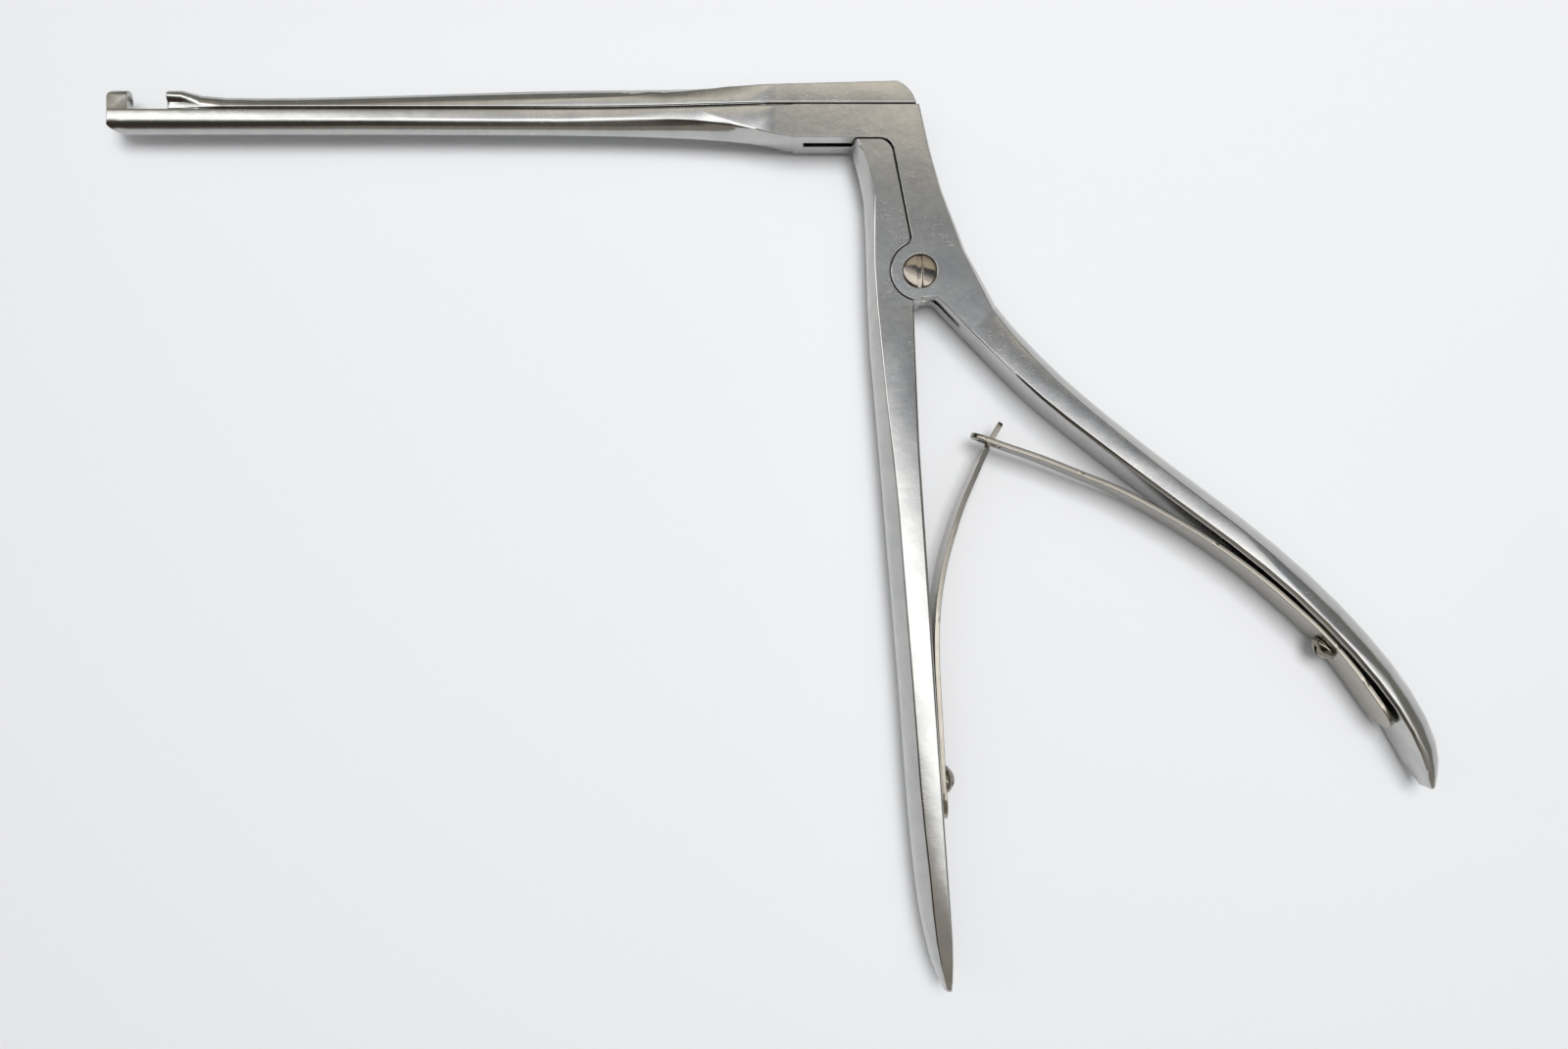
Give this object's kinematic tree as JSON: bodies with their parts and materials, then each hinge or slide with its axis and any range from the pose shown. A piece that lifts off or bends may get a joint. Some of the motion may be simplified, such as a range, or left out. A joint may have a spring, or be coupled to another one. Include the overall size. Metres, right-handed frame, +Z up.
{
  "type": "antrum punch forceps",
  "caption": "Steel antrum punch: a slide driven by a sprung trigger handle bites against an upturned footplate at the end of a slim bar.",
  "frame": {"origin": "centre of the footprint of the punch lying on its side, on the surface it lies on", "axes": "+X from the jaw towards the handles along the bar, +Y from the handle ends towards the slide, +Z up through the thickness, towards the pivot screw's head"},
  "size_m": [0.2348, 0.1592, 0.0125],
  "materials": {
    "satin_steel": "fine satin, hand brushed",
    "polished_steel": "polished",
    "spring_steel": "polished spring leaf"
  },
  "bodies": {
    "frame": {"frame": "satin_steel", "pivot_screw": "polished_steel", "rear_leaf_spring": "spring_steel", "rear_spring_screw": "polished_steel"},
    "front_handle": {"front_handle": "satin_steel", "front_leaf_spring": "spring_steel", "front_spring_screw": "polished_steel"},
    "slide": {"slide": "satin_steel"}
  },
  "joints": [
    {"name": "trigger_squeeze", "type": "hinge", "parent": "frame", "child": "front_handle", "pos_m": [0.02579, 0.04633, 0.00625], "axis": [0, 0, 1], "range_deg": [0, 13.5], "stiffness_Nm_per_rad": 2, "springref_deg": -4.58, "deforming": ["front_leaf_spring", "rear_leaf_spring"]},
    {"name": "slide_travel", "type": "slide", "parent": "frame", "child": "slide", "axis": [-1, 0, 0], "range_m": [0, 0.007]}
  ],
  "couplings": [
    {"joint": "slide_travel", "follows": "trigger_squeeze", "m_per_rad": 0.02968}
  ]
}
